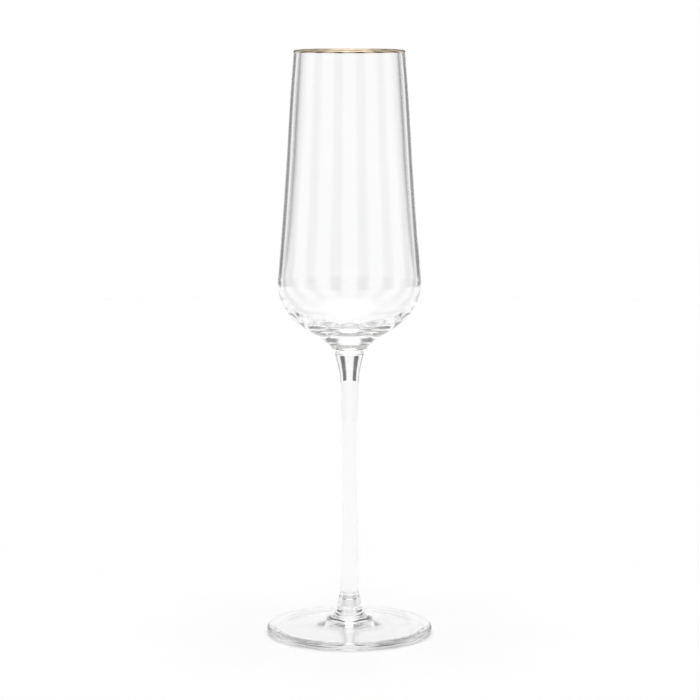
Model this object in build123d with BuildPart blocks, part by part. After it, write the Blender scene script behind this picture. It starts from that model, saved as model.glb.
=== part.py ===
from build123d import *
import os

# Champagne flute, made the way stemware is made: a blown bowl, a drawn stem,
# a pressed foot, and a fired gold band over the lip.
# Millimetres, +Z up, origin at the centre of the foot's resting plane.

# ---- driving dimensions -----------------------------------------------------
height = 250.0            # resting plane to the top of the gold band
gold = 0.12               # thickness of the gold band
band_drop = 1.20          # how far the band runs down the lip
lip_wall = 1.90           # glass thickness at the lip
lip_out = 23.46           # glass outer radius at the lip
lip_slope = 0.082         # radius gained per mm down, just under the lip

z_bowl_stem = 121.3       # fused joint between bowl and stem
z_stem_foot = 15.2        # fused joint between stem and foot
joint_bowl_r = 6.15       # radius of the bowl's seat on the stem
joint_foot_r = 4.62       # radius of the stem's seat on the foot

foot_r = 35.6             # largest radius of the foot
foot_edge = 3.75          # height of the foot's rounded edge
rest_in, rest_out = 30.6, 34.3   # the flat ring that the foot stands on
dish = 2.2                # hollow of the foot's underside at its centre

# outer wall of the bowl, (radius, height): the straight side, then the shoulder
wall_outer = [
    (25.02, 229.0),
    (26.62, 203.0),
    (28.42, 177.5),
]
break_outer = (29.36, 165.3)
slope_outer = (0.077, -1)     # the wall's direction there, going down
shoulder_outer = [
    (30.12, 157.0),
    (30.50, 151.4),
    (30.12, 147.8),
    (29.05, 143.9),
    (27.25, 140.6),
    (24.95, 137.2),
    (22.05, 134.5),
    (18.60, 132.0),
    (14.90, 129.6),
    (11.20, 127.0),
    (8.55, 124.9),
    (7.05, 123.1),
]

# inner wall of the bowl: the straight side, then the shoulder and the floor
wall_inner = [
    (23.02, 229.0),
    (24.54, 203.0),
    (26.34, 177.5),
]
break_inner = (27.38, 165.3)
slope_inner = (0.086, -1)
shoulder_inner = [
    (28.20, 157.0),
    (28.60, 151.2),
    (28.02, 147.0),
    (26.45, 143.2),
    (24.10, 139.95),
    (21.35, 137.2),
    (18.30, 135.15),
    (14.60, 133.65),
    (8.60, 132.7),
]
floor_z = 132.5
floor_flat = 2.5          # the middle of the floor is flat out to here

# drawn stem, (radius, height), from the bowl down to the foot
stem_side = [
    (5.72, 119.2),
    (5.00, 116.6),
    (4.35, 113.5),
    (4.02, 110.0),
    (3.80, 101.0),
    (3.48, 91.0),
    (3.38, 79.0),
    (3.36, 60.0),
    (3.42, 48.5),
    (3.62, 38.0),
    (3.80, 27.0),
    (3.92, 20.0),
]

# upper face of the foot, from the stem joint out to the rounded edge
foot_top = [
    (5.03, 13.4),
    (5.40, 11.8),
    (5.78, 10.3),
    (6.30, 9.0),
    (7.10, 7.85),
    (8.25, 7.0),
    (9.90, 6.45),
    (12.50, 6.05),
    (17.00, 5.5),
    (22.50, 4.92),
    (28.00, 4.34),
]

# ---- lip geometry shared by the glass and the gold ----------------------------
lip_top = height - gold
lip_arc_z = lip_top - lip_wall / 2
lip_mid = lip_out - lip_wall / 2
band_z = height - band_drop
straight_z = height - 2.6     # the wall is straight from here up to the lip


def outer_wall(z):
    return lip_out + (lip_arc_z - z) * lip_slope


def inner_wall(z):
    return lip_out - lip_wall + (lip_arc_z - z) * lip_slope


wall_dir_down = (lip_slope, -1)
wall_dir_up = (-lip_slope, 1)

# ---- bowl: blown in a smooth mould, open at the top, thick at the floor ---------
with BuildPart() as bowl:
    with BuildSketch(Plane.XZ):
        with BuildLine():
            Line((0, z_bowl_stem), (joint_bowl_r, z_bowl_stem))
            Spline(
                (joint_bowl_r, z_bowl_stem),
                *reversed(shoulder_outer),
                break_outer,
                tangents=[(0.42, 1.0), (-slope_outer[0], 1)],
            )
            Spline(
                break_outer,
                *reversed(wall_outer),
                (outer_wall(straight_z), straight_z),
                tangents=[(-slope_outer[0], 1), wall_dir_up],
            )
            Line((outer_wall(straight_z), straight_z), (outer_wall(lip_arc_z), lip_arc_z))
            ThreePointArc(
                (outer_wall(lip_arc_z), lip_arc_z),
                (lip_mid, lip_top),
                (inner_wall(lip_arc_z), lip_arc_z),
            )
            Line((inner_wall(lip_arc_z), lip_arc_z), (inner_wall(straight_z), straight_z))
            Spline(
                (inner_wall(straight_z), straight_z),
                *wall_inner,
                break_inner,
                tangents=[wall_dir_down, slope_inner],
            )
            Spline(
                break_inner,
                *shoulder_inner,
                (floor_flat, floor_z),
                tangents=[slope_inner, (-1, 0)],
            )
            Line((floor_flat, floor_z), (0, floor_z))
            Line((0, floor_z), (0, z_bowl_stem))
        make_face()
    revolve(axis=Axis.Z)
bowl.part.label = "bowl"

# ---- stem: drawn solid, thinnest at its middle, flared at both fused ends ------
with BuildPart() as stem:
    with BuildSketch(Plane.XZ):
        with BuildLine():
            Line((0, z_stem_foot), (joint_foot_r, z_stem_foot))
            Spline(
                (joint_foot_r, z_stem_foot),
                *reversed(stem_side),
                (joint_bowl_r, z_bowl_stem),
                tangents=[(-0.30, 1.0), (0.26, 1.0)],
            )
            Line((joint_bowl_r, z_bowl_stem), (0, z_bowl_stem))
            Line((0, z_bowl_stem), (0, z_stem_foot))
        make_face()
    revolve(axis=Axis.Z)
stem.part.label = "stem"

# ---- foot: a low cone with a boss, a rounded edge and a hollow underside ---------
with BuildPart() as foot:
    with BuildSketch(Plane.XZ):
        with BuildLine():
            Line((0, z_stem_foot), (joint_foot_r, z_stem_foot))
            Spline(
                (joint_foot_r, z_stem_foot),
                *foot_top,
                (foot_r - 1.9, foot_edge),
                tangents=[(0.22, -1.0), (1.0, -0.115)],
            )
            Spline(
                (foot_r - 1.9, foot_edge),
                (foot_r, foot_edge / 2),
                tangents=[(1.0, -0.115), (0, -1)],
            )
            Spline(
                (foot_r, foot_edge / 2),
                (rest_out, 0),
                tangents=[(0, -1), (-1, 0)],
            )
            Line((rest_out, 0), (rest_in, 0))
            Spline(
                (rest_in, 0),
                (rest_in * 0.90, dish * 0.19),
                (rest_in * 0.55, dish * 0.735),
                (floor_flat, dish),
                tangents=[(-1.0, 0.16), (-1, 0)],
            )
            Line((floor_flat, dish), (0, dish))
            Line((0, dish), (0, z_stem_foot))
        make_face()
    revolve(axis=Axis.Z)
foot.part.label = "foot"

# ---- gold band: a fired gold coat folded over the lip ---------------------------
with BuildPart() as gold_rim:
    with BuildSketch(Plane.XZ):
        with BuildLine():
            Line((outer_wall(band_z) + gold, band_z), (outer_wall(lip_arc_z) + gold, lip_arc_z))
            ThreePointArc(
                (outer_wall(lip_arc_z) + gold, lip_arc_z),
                (lip_mid, height),
                (inner_wall(lip_arc_z) - gold, lip_arc_z),
            )
            Line((inner_wall(lip_arc_z) - gold, lip_arc_z), (inner_wall(band_z) - gold, band_z))
            Line((inner_wall(band_z) - gold, band_z), (inner_wall(band_z), band_z))
            Line((inner_wall(band_z), band_z), (inner_wall(lip_arc_z), lip_arc_z))
            ThreePointArc(
                (inner_wall(lip_arc_z), lip_arc_z),
                (lip_mid, lip_top),
                (outer_wall(lip_arc_z), lip_arc_z),
            )
            Line((outer_wall(lip_arc_z), lip_arc_z), (outer_wall(band_z), band_z))
            Line((outer_wall(band_z), band_z), (outer_wall(band_z) + gold, band_z))
        make_face()
    revolve(axis=Axis.Z)
gold_rim.part.label = "gold_rim"

os.makedirs("parts", exist_ok=True)
export_step(bowl.part, "parts/bowl.step")
export_step(stem.part, "parts/stem.step")
export_step(foot.part, "parts/foot.step")
export_step(gold_rim.part, "parts/gold_rim.step")

for piece in (bowl, stem, foot, gold_rim):
    size = piece.part.bounding_box().size
    print(piece.part.label, round(piece.part.volume / 1000, 2), "cm3", size)
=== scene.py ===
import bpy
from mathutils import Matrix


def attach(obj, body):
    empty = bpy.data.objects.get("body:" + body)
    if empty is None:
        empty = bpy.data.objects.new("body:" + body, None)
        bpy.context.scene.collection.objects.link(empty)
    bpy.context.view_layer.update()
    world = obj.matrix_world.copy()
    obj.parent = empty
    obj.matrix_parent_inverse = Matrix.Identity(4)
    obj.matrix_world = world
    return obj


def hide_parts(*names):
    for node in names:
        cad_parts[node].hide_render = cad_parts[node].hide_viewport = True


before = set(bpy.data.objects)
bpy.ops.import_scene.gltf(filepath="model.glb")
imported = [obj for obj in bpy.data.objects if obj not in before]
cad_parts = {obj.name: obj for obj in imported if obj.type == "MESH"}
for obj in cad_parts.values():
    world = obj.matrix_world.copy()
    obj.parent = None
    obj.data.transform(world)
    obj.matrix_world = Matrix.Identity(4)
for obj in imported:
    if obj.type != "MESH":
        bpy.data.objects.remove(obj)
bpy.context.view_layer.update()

import math

import bmesh
import bpy
import numpy as np
from mathutils import Vector

scene = bpy.context.scene
MM = 0.001
TAU = 2 * math.pi

# ------------------------------------------------------------------ profiles
# (radius, height) in millimetres, the same as the CAD model's
Z_TOP = 250.0
GOLD = 0.12
LIP_WALL = 1.90
LIP_OUT = 23.46
LIP_SLOPE = 0.082
LIP_TOP = Z_TOP - GOLD
LIP_ARC_Z = LIP_TOP - LIP_WALL / 2
LIP_MID = LIP_OUT - LIP_WALL / 2
BAND_Z = Z_TOP - 1.20
Z_BOWL_STEM = 121.3
Z_STEM_FOOT = 15.2
SEAT_BOWL = 6.15
SEAT_FOOT = 4.62


def outer_wall(z):
    return LIP_OUT + (LIP_ARC_Z - z) * LIP_SLOPE


def inner_wall(z):
    return LIP_OUT - LIP_WALL + (LIP_ARC_Z - z) * LIP_SLOPE


BOWL_OUT = [
    (6.15, 121.3), (7.05, 123.1), (8.55, 124.9), (11.2, 127.0), (14.9, 129.6),
    (18.6, 132.0), (22.05, 134.5), (24.95, 137.2), (27.25, 140.6), (29.05, 143.9),
    (30.12, 147.8), (30.5, 151.4), (30.34, 154.2), (30.0, 157.6), (29.40, 164.8),
    (28.42, 177.5), (27.5, 190.0), (26.62, 203.0), (25.8, 216.6), (25.02, 229.0),
    (24.2, 240.0), (outer_wall(247.4), 247.4), (outer_wall(LIP_ARC_Z), LIP_ARC_Z),
]
BOWL_IN = [
    (inner_wall(LIP_ARC_Z), LIP_ARC_Z), (inner_wall(247.4), 247.4), (22.25, 240.0),
    (23.02, 229.0), (23.77, 216.6), (24.54, 203.0), (25.42, 190.0), (26.34, 177.5),
    (27.38, 165.3), (28.12, 157.6), (28.52, 153.2), (28.58, 150.6), (28.02, 147.0),
    (26.45, 143.2), (24.1, 139.95), (21.35, 137.2), (18.3, 135.15), (14.6, 133.65), (8.6, 132.7),
    (2.5, 132.5), (0.0, 132.5),
]
STEM = [
    (4.62, 15.2), (4.10, 17.8), (3.92, 20.6), (3.81, 25.0), (3.76, 31.0), (3.62, 38.0),
    (3.42, 48.5), (3.36, 60.0), (3.37, 70.0), (3.38, 79.0), (3.47, 91.0), (3.78, 101.0),
    (4.0, 110.0), (4.33, 113.5), (5.0, 116.6), (5.68, 119.2), (6.15, 121.3),
]
FOOT_TOP = [
    (4.62, 15.2), (5.03, 13.4), (5.4, 11.8), (5.78, 10.3), (6.3, 9.0), (7.1, 7.85),
    (8.25, 7.0), (9.9, 6.45), (12.5, 6.05), (17.0, 5.5), (22.5, 4.92), (28.0, 4.34), (33.3, 3.8),
]


# ------------------------------------------------------------------ mesh helpers
def smooth_curve(points, step):
    """Points along a smooth curve through points, about step apart."""
    p = np.array(points, float)
    d = np.r_[0, np.cumsum(np.hypot(*np.diff(p, axis=0).T) ** 0.5)]
    h = np.diff(d)
    slope = np.diff(p, axis=0) / h[:, None]
    m = np.zeros_like(p)
    m[1:-1] = (slope[:-1] * h[1:, None] + slope[1:] * h[:-1, None]) / (h[1:] + h[:-1])[:, None]
    m[0], m[-1] = slope[0], slope[-1]
    out = []
    for i in range(len(h)):
        length = math.hypot(*(p[i + 1] - p[i]))
        n = max(1, int(math.ceil(length / step)))
        t = np.arange(n) / n
        t = t[:, None]
        out.append(
            (2 * t**3 - 3 * t**2 + 1) * p[i]
            + (t**3 - 2 * t**2 + t) * h[i] * m[i]
            + (-2 * t**3 + 3 * t**2) * p[i + 1]
            + (t**3 - t**2) * h[i] * m[i + 1]
        )
    out.append(p[-1:])
    return np.vstack(out)


def ease(t):
    t = np.clip(t, 0, 1)
    return t * t * (3 - 2 * t)


def face_out(me):
    """Turns a closed mesh's faces outwards, by the sign of its volume."""
    bm = bmesh.new()
    bm.from_mesh(me)
    bmesh.ops.triangulate(bm, faces=bm.faces[:])
    inside_out = bm.calc_volume(signed=True) < 0
    bm.free()
    if inside_out:
        me.flip_normals()


def rings_mesh(name, rings, n, shape, poles=(False, False), slots=None):
    """A closed surface from rings of n points. shape(ring index, radius, height, angles) gives x, y, z in mm.
    A pole closes an end on a single point. slots gives a material index for each band of faces."""
    ang = np.arange(n) / n * TAU
    verts, faces, mats = [], [], []
    starts = []
    count = len(rings)
    for i, (r, z) in enumerate(rings):
        starts.append(len(verts))
        if (i == 0 and poles[0]) or (i == count - 1 and poles[1]):
            x, y, zz = shape(i, 0.0, z, ang[:1])
            verts.append((0.0, 0.0, float(np.mean(zz))))
        else:
            x, y, zz = shape(i, r, z, ang)
            verts.extend(zip(x.tolist(), y.tolist(), zz.tolist()))
    for i in range(count - 1):
        a, b = starts[i], starts[i + 1]
        slot = slots[i] if slots is not None else 0
        if i == 0 and poles[0]:
            for k in range(n):
                faces.append((a, b + (k + 1) % n, b + k))
                mats.append(slot)
        elif i == count - 2 and poles[1]:
            for k in range(n):
                faces.append((a + k, a + (k + 1) % n, b))
                mats.append(slot)
        else:
            for k in range(n):
                k2 = (k + 1) % n
                faces.append((a + k, a + k2, b + k2, b + k))
                mats.append(slot)
    me = bpy.data.meshes.new(name)
    me.from_pydata([(x * MM, y * MM, z * MM) for x, y, z in verts], [], faces)
    me.polygons.foreach_set("material_index", mats)
    me.polygons.foreach_set("use_smooth", [True] * len(faces))
    me.update()
    face_out(me)
    ob = bpy.data.objects.new(name, me)
    scene.collection.objects.link(ob)
    return ob


# ------------------------------------------------------------------ glass pieces
def wobble(theta, z, seed):
    """Slow hand-made unevenness, about -1 to 1."""
    return (
        0.5 * np.sin(2 * theta + 0.021 * z + seed)
        + 0.3 * np.sin(3 * theta - 0.034 * z + 1.7 * seed)
        + 0.2 * np.sin(theta + 0.055 * z + 2.3 * seed)
    )


def build_bowl():
    out = smooth_curve(BOWL_OUT, 1.25)
    arc = np.linspace(0, math.pi, 17)[1:-1]
    lip = np.c_[LIP_MID + LIP_WALL / 2 * np.cos(arc), LIP_ARC_Z + LIP_WALL / 2 * np.sin(arc)]
    inn = smooth_curve(BOWL_IN, 1.25)
    cap = np.array([[0.0, Z_BOWL_STEM], [2.5, Z_BOWL_STEM], [4.6, Z_BOWL_STEM]])
    rings = np.vstack([cap, out, lip, inn])
    n_cap, n_out = len(cap), len(cap) + len(out)
    n_lip = n_out + len(lip)

    def shape(i, r, z, ang):
        if i < n_cap:
            rr = np.full_like(ang, r)
            zz = np.full_like(ang, z)
        elif i < n_out:
            rr = r + 0.030 * wobble(ang, z, 0.4) * ease((z - 123) / 8) * ease((248 - z) / 10)
            zz = np.full_like(ang, z)
        elif i < n_lip:
            rr = np.full_like(ang, r)
            zz = np.full_like(ang, z)
        else:
            # the hot glass was blown and spun: the inside is a little less even than the outside
            up = ease((249 - z) / 30)
            rr = r + 0.030 * wobble(ang, z, 1.9) * up * ease(r / 12)
            zz = np.full_like(ang, z)
        return rr * np.cos(ang - math.pi / 2), rr * np.sin(ang - math.pi / 2), zz

    slots = [1 if i < n_cap else 0 for i in range(len(rings) - 1)]
    slots[n_cap - 1] = 1
    return rings_mesh("bowl_glass", rings.tolist(), 240, shape, poles=(True, True), slots=slots)


def build_stem():
    side = smooth_curve(STEM, 0.9)
    low = np.array([[0.0, Z_STEM_FOOT], [2.0, Z_STEM_FOOT], [3.5, Z_STEM_FOOT]])
    top = np.array([[4.6, Z_BOWL_STEM], [2.5, Z_BOWL_STEM], [0.0, Z_BOWL_STEM]])
    rings = np.vstack([low, side, top])
    n_low, n_side = len(low), len(low) + len(side)

    def shape(i, r, z, ang):
        k = ease((z - 16.5) / 6) * ease((119.5 - z) / 6)
        rr = r * (1 + 0.012 * wobble(ang, 1.6 * z, 3.1) * k)
        cx = 0.07 * math.sin((z - 15.2) / 106.1 * TAU * 1.3) * k
        return cx + rr * np.cos(ang - math.pi / 2), rr * np.sin(ang - math.pi / 2), np.full_like(ang, z)

    slots = [1 if (i < n_low or i >= n_side - 1) else 0 for i in range(len(rings) - 1)]
    return rings_mesh("stem_glass", rings.tolist(), 96, shape, poles=(True, True), slots=slots)


def foot_profile():
    top = smooth_curve(FOOT_TOP, 0.5)
    # rounded edge, from the top face round to the resting ring
    edge_up = smooth_curve([(33.3, 3.8), (33.9, 3.72), (34.5, 3.60), (35.02, 3.32), (35.38, 2.88), (35.56, 2.38), (35.6, 1.875)], 0.14)
    edge_dn = smooth_curve([(35.6, 1.875), (35.57, 1.33), (35.45, 0.80), (35.2, 0.37), (34.8, 0.09), (34.3, 0.0)], 0.14)
    ring = np.array([[34.3, 0.0], [33.4, 0.0], [32.4, 0.0], [31.4, 0.0], [30.6, 0.0]])
    dish = smooth_curve([(30.6, 0.0), (27.5, 0.42), (22.0, 1.12), (16.8, 1.62), (9.0, 2.08), (2.5, 2.2), (0.0, 2.2)], 1.0)
    side = np.vstack([top[:-1], edge_up[:-1], edge_dn[:-1], ring[:-1], dish])
    cap = np.array([[0.0, Z_STEM_FOOT], [2.0, Z_STEM_FOOT], [3.5, Z_STEM_FOOT]])
    return cap, side


def build_foot():
    cap, side = foot_profile()
    rings = np.vstack([cap, side])
    n_cap = len(cap)

    def shape(i, r, z, ang):
        k = ease((r - 7) / 10) if i > n_cap else 0.0
        zz = np.full_like(ang, z) + (0.05 * wobble(ang, 6 * r, 5.2) * k * ease((z - 1.9) / 1.2))
        return r * np.cos(ang - math.pi / 2), r * np.sin(ang - math.pi / 2), zz

    slots = [1 if i < n_cap else 0 for i in range(len(rings) - 1)]
    return rings_mesh("foot_glass", rings.tolist(), 240, shape, poles=(True, True), slots=slots)


def build_gold():
    """The fired band: a thin closed ring folded over the lip, with a slightly uneven painted edge."""
    gap = 0.012
    arc = np.linspace(0, math.pi, 19)
    rad_o, rad_i = LIP_WALL / 2 + GOLD, LIP_WALL / 2 + gap
    outer = [(outer_wall(BAND_Z) + GOLD - 0.05, BAND_Z - 0.0), (outer_wall(BAND_Z) + GOLD, BAND_Z + 0.05), (outer_wall(LIP_ARC_Z) + GOLD, LIP_ARC_Z)]
    over = [(LIP_MID + rad_o * math.cos(a), LIP_ARC_Z + rad_o * math.sin(a)) for a in arc[1:-1]]
    inner = [(inner_wall(LIP_ARC_Z) - GOLD, LIP_ARC_Z), (inner_wall(BAND_Z) - GOLD, BAND_Z + 0.05), (inner_wall(BAND_Z) - GOLD + 0.05, BAND_Z)]
    back_in = [(inner_wall(BAND_Z) - gap, BAND_Z), (inner_wall(LIP_ARC_Z) - gap, LIP_ARC_Z)]
    back = [(LIP_MID + rad_i * math.cos(a), LIP_ARC_Z + rad_i * math.sin(a)) for a in arc[::-1][1:-1]]
    back_out = [(outer_wall(LIP_ARC_Z) + gap, LIP_ARC_Z), (outer_wall(BAND_Z) + gap, BAND_Z)]
    loop = outer + over + inner + back_in + back + back_out
    n = 300
    ang = np.arange(n) / n * TAU
    verts, faces = [], []
    for r, z in loop:
        low = z < BAND_Z + 0.06
        dz = 0.035 * wobble(ang * 3, 40 * (r > 22.5), 0.7) if low else 0 * ang
        dz = np.maximum(dz, -0.0) if low else dz
        for a, d in zip(ang, dz):
            verts.append((r * math.cos(a) * MM, r * math.sin(a) * MM, (z + d) * MM))
    m = len(loop)
    for j in range(m):
        j2 = (j + 1) % m
        for k in range(n):
            k2 = (k + 1) % n
            faces.append((j * n + k, j * n + k2, j2 * n + k2, j2 * n + k))
    bedded = range(len(outer) + len(over) + len(inner), m - 1)
    me = bpy.data.meshes.new("gold_band")
    me.from_pydata(verts, [], faces)
    me.polygons.foreach_set("material_index", [1 if j in bedded else 0 for j in range(m) for k in range(n)])
    me.polygons.foreach_set("use_smooth", [True] * len(faces))
    me.update()
    face_out(me)
    ob = bpy.data.objects.new("gold_band", me)
    scene.collection.objects.link(ob)
    return ob


# ------------------------------------------------------------------ materials
def new_material(name):
    mat = bpy.data.materials.new(name)
    mat.use_nodes = True
    nt = mat.node_tree
    nt.nodes.clear()
    return mat, nt


def node(nt, kind, **values):
    n = nt.nodes.new(kind)
    for key, value in values.items():
        if key in n.inputs:
            n.inputs[key].default_value = value
        else:
            setattr(n, key, value)
    return n


def glass_material(name, tint_low, tint_high, ripple, ripple_scale, density, ior=1.5):
    """Clear soda glass: a trace of uneven tint, a polished surface with the faint pull of hot working."""
    mat, nt = new_material(name)
    out = node(nt, "ShaderNodeOutputMaterial")
    bsdf = node(nt, "ShaderNodeBsdfPrincipled")
    bsdf.inputs["Transmission Weight"].default_value = 1.0
    bsdf.inputs["IOR"].default_value = ior
    bsdf.inputs["Specular IOR Level"].default_value = 0.5
    coords = node(nt, "ShaderNodeTexCoord")
    mapping = node(nt, "ShaderNodeMapping")
    mapping.inputs["Scale"].default_value = (1.0, 1.0, 0.35)
    nt.links.new(coords.outputs["Object"], mapping.inputs["Vector"])
    slow = node(nt, "ShaderNodeTexNoise")
    slow.inputs["Scale"].default_value = 45.0
    slow.inputs["Detail"].default_value = 2.0
    nt.links.new(mapping.outputs["Vector"], slow.inputs["Vector"])
    ramp = node(nt, "ShaderNodeValToRGB")
    ramp.color_ramp.elements[0].position = 0.3
    ramp.color_ramp.elements[0].color = (*tint_low, 1)
    ramp.color_ramp.elements[1].position = 0.7
    ramp.color_ramp.elements[1].color = (*tint_high, 1)
    nt.links.new(slow.outputs["Fac"], ramp.inputs["Fac"])
    nt.links.new(ramp.outputs["Color"], bsdf.inputs["Base Color"])
    rough = node(nt, "ShaderNodeMapRange")
    rough.inputs["From Min"].default_value = 0.3
    rough.inputs["From Max"].default_value = 0.7
    rough.inputs["To Min"].default_value = 0.0
    rough.inputs["To Max"].default_value = 0.012
    nt.links.new(slow.outputs["Fac"], rough.inputs["Value"])
    nt.links.new(rough.outputs["Result"], bsdf.inputs["Roughness"])
    fine = node(nt, "ShaderNodeTexNoise")
    fine.inputs["Scale"].default_value = ripple_scale
    fine.inputs["Detail"].default_value = 1.0
    nt.links.new(mapping.outputs["Vector"], fine.inputs["Vector"])
    bump = node(nt, "ShaderNodeBump")
    bump.inputs["Strength"].default_value = 1.0
    bump.inputs["Distance"].default_value = ripple
    nt.links.new(fine.outputs["Fac"], bump.inputs["Height"])
    nt.links.new(bump.outputs["Normal"], bsdf.inputs["Normal"])
    nt.links.new(bsdf.outputs["BSDF"], out.inputs["Surface"])
    depth = node(nt, "ShaderNodeVolumeAbsorption")
    depth.inputs["Color"].default_value = (0.495, 0.502, 0.50, 1)
    depth.inputs["Density"].default_value = density
    nt.links.new(depth.outputs["Volume"], out.inputs["Volume"])
    return mat


def fused_material():
    """Where two pieces of hot glass have run together there is no surface to see."""
    mat, nt = new_material("fused_joint")
    out = node(nt, "ShaderNodeOutputMaterial")
    clear = node(nt, "ShaderNodeBsdfTransparent")
    clear.inputs["Color"].default_value = (1, 1, 1, 1)
    nt.links.new(clear.outputs["BSDF"], out.inputs["Surface"])
    return mat


def gold_material(name, dark, light):
    """Fired gold; the side that lies on the glass is paler, as it is bedded in flux."""
    mat, nt = new_material(name)
    out = node(nt, "ShaderNodeOutputMaterial")
    bsdf = node(nt, "ShaderNodeBsdfPrincipled")
    bsdf.inputs["Metallic"].default_value = 1.0
    coords = node(nt, "ShaderNodeTexCoord")
    noise = node(nt, "ShaderNodeTexNoise")
    noise.inputs["Scale"].default_value = 260.0
    noise.inputs["Detail"].default_value = 4.0
    nt.links.new(coords.outputs["Object"], noise.inputs["Vector"])
    ramp = node(nt, "ShaderNodeValToRGB")
    ramp.color_ramp.elements[0].position = 0.3
    ramp.color_ramp.elements[0].color = (*dark, 1)
    ramp.color_ramp.elements[1].position = 0.72
    ramp.color_ramp.elements[1].color = (*light, 1)
    nt.links.new(noise.outputs["Fac"], ramp.inputs["Fac"])
    nt.links.new(ramp.outputs["Color"], bsdf.inputs["Base Color"])
    rough = node(nt, "ShaderNodeMapRange")
    rough.inputs["To Min"].default_value = 0.08
    rough.inputs["To Max"].default_value = 0.20
    nt.links.new(noise.outputs["Fac"], rough.inputs["Value"])
    nt.links.new(rough.outputs["Result"], bsdf.inputs["Roughness"])
    fine = node(nt, "ShaderNodeTexNoise")
    fine.inputs["Scale"].default_value = 900.0
    nt.links.new(coords.outputs["Object"], fine.inputs["Vector"])
    bump = node(nt, "ShaderNodeBump")
    bump.inputs["Strength"].default_value = 0.35
    bump.inputs["Distance"].default_value = 0.00005
    nt.links.new(fine.outputs["Fac"], bump.inputs["Height"])
    nt.links.new(bump.outputs["Normal"], bsdf.inputs["Normal"])
    nt.links.new(bsdf.outputs["BSDF"], out.inputs["Surface"])
    return mat


bowl = build_bowl()
stem = build_stem()
foot = build_foot()
band = build_gold()

bowl_mat = glass_material("bowl_glass", (0.977, 0.979, 0.979), (0.989, 0.990, 0.990), 0.000010, 60.0, 1.6)
stem_mat = glass_material("stem_glass", (0.962, 0.963, 0.963), (0.974, 0.975, 0.975), 0.000008, 90.0, 3.0)
foot_mat = glass_material("foot_glass", (0.938, 0.940, 0.940), (0.950, 0.951, 0.951), 0.000012, 70.0, 3.0)
fused = fused_material()
for ob, mat in ((bowl, bowl_mat), (stem, stem_mat), (foot, foot_mat)):
    ob.data.materials.append(mat)
    ob.data.materials.append(fused)
band.data.materials.append(gold_material("fired_gold", (0.44, 0.36, 0.26), (0.60, 0.50, 0.37)))
band.data.materials.append(gold_material("gold_bedded", (0.86, 0.83, 0.77), (0.93, 0.90, 0.85)))

for ob, cad, slot in (
    (bowl, "bowl", "bowl_glass"),
    (stem, "stem", "stem_glass"),
    (foot, "foot", "foot_glass"),
    (band, "gold_rim", "gold"),
):
    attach(ob, "root")
    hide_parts(cad)

# ------------------------------------------------------------------ floor
FLOOR_R = 1.3
me = bpy.data.meshes.new("floor")
n = 128
verts = [(0, 0, -0.00005)] + [(FLOOR_R * math.cos(k / n * TAU), FLOOR_R * math.sin(k / n * TAU), -0.00005) for k in range(n)]
me.from_pydata(verts, [], [(0, 1 + k, 1 + (k + 1) % n) for k in range(n)])
me.update()
floor = bpy.data.objects.new("floor", me)
scene.collection.objects.link(floor)
mat, nt = new_material("floor")
out = node(nt, "ShaderNodeOutputMaterial")
bsdf = node(nt, "ShaderNodeBsdfDiffuse")
bsdf.inputs["Color"].default_value = (0.92, 0.92, 0.92, 1)
nt.links.new(bsdf.outputs["BSDF"], out.inputs["Surface"])
me.materials.append(mat)

# ------------------------------------------------------------------ studio light
GAP_DEPTH = 0.85
CEILING = 2.7
world = bpy.data.worlds.new("studio")
scene.world = world
world.use_nodes = True
nt = world.node_tree
nt.nodes.clear()
out = node(nt, "ShaderNodeOutputWorld")


def math_node(op, a, b=None, c=None, clamp=False):
    m = node(nt, "ShaderNodeMath", operation=op, use_clamp=clamp)
    for i, v in enumerate((a, b, c)):
        if v is None:
            continue
        if isinstance(v, (int, float)):
            m.inputs[i].default_value = v
        else:
            nt.links.new(v, m.inputs[i])
    return m.outputs[0]


def smoothstep(value, low, high, to_low=0.0, to_high=1.0):
    m = node(nt, "ShaderNodeMapRange", interpolation_type="SMOOTHSTEP")
    nt.links.new(value, m.inputs["Value"])
    for key, v in (("From Min", low), ("From Max", high), ("To Min", to_low), ("To Max", to_high)):
        if isinstance(v, (int, float)):
            m.inputs[key].default_value = v
        else:
            nt.links.new(v, m.inputs[key])
    return m.outputs["Result"]


def blend(fac, a, b):
    m = node(nt, "ShaderNodeMix", data_type="FLOAT")
    for i, v in ((0, fac), (2, a), (3, b)):
        if isinstance(v, (int, float)):
            m.inputs[i].default_value = v
        else:
            nt.links.new(v, m.inputs[i])
    return m.outputs[0]


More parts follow.
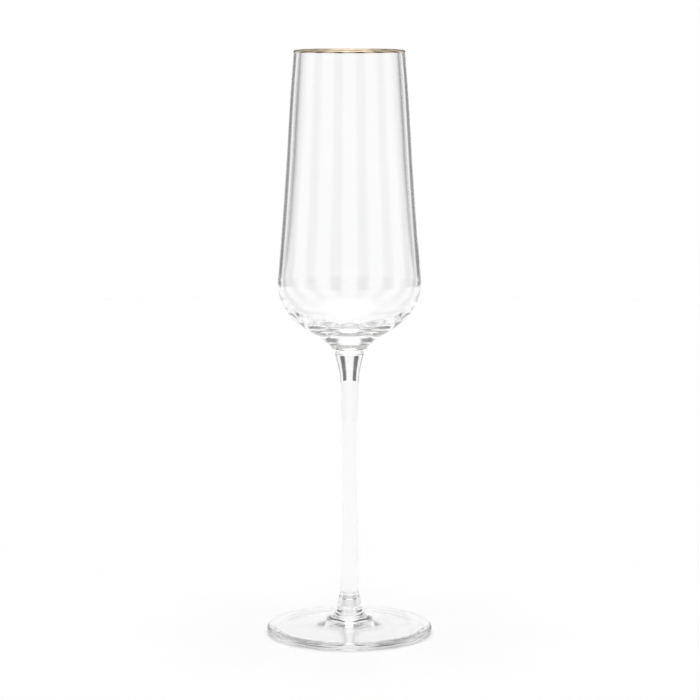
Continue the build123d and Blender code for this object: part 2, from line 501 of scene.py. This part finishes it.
coords = node(nt, "ShaderNodeTexCoord")
sep = node(nt, "ShaderNodeSeparateXYZ")
nt.links.new(coords.outputs["Generated"], sep.inputs["Vector"])
X, Y, Z = sep.outputs["X"], sep.outputs["Y"], sep.outputs["Z"]
azimuth = math_node("MULTIPLY", math_node("ARCTAN2", X, Y), 180 / math.pi)
elevation = math_node("MULTIPLY", math_node("ARCSINE", Z), 180 / math.pi)
# eight soft white panels in an even ring, with a soft darker gap between each two,
# and a soft light overhead; the gaps fade out towards the floor. It is the same from
# every side and for every ray
turn = math_node("PINGPONG", math_node("ABSOLUTE", azimuth), 22.5)
gap = math_node("MULTIPLY", smoothstep(turn, 9.5, 17.0), smoothstep(elevation, -9.0, -4.0))
wall = math_node("SUBTRACT", 1.0, math_node("MULTIPLY", gap, GAP_DEPTH))
ceiling = smoothstep(elevation, 56.0, 74.0, 1.0, CEILING)
total = blend(smoothstep(elevation, 48.0, 58.0), wall, ceiling)
lit = node(nt, "ShaderNodeBackground")
lit.inputs["Color"].default_value = (1, 1, 1, 1)
nt.links.new(total, lit.inputs["Strength"])
nt.links.new(lit.outputs["Background"], out.inputs["Surface"])

# ------------------------------------------------------------------ camera
cam_data = bpy.data.cameras.new("camera")
cam_data.sensor_width = 36.0
cam_data.lens = 36.0 * 2647.6 / 700.0
cam_data.clip_start = 0.05
cam_data.clip_end = 50.0
cam = bpy.data.objects.new("camera", cam_data)
scene.collection.objects.link(cam)
pitch = math.radians(7.5413)
cam.location = (0.00025, -1.11766, 0.27073)
cam.rotation_euler = (math.pi / 2 - pitch, 0.0, 0.0)
scene.camera = cam

scene.view_settings.view_transform = "Standard"
scene.view_settings.look = "None"
scene.view_settings.exposure = 0.0
scene.view_settings.gamma = 1.0
scene.cycles.max_bounces = 96
scene.cycles.transmission_bounces = 96
scene.cycles.glossy_bounces = 96
scene.cycles.transparent_max_bounces = 64
scene.cycles.diffuse_bounces = 4
scene.cycles.blur_glossy = 0.0

bpy.context.view_layer.update()
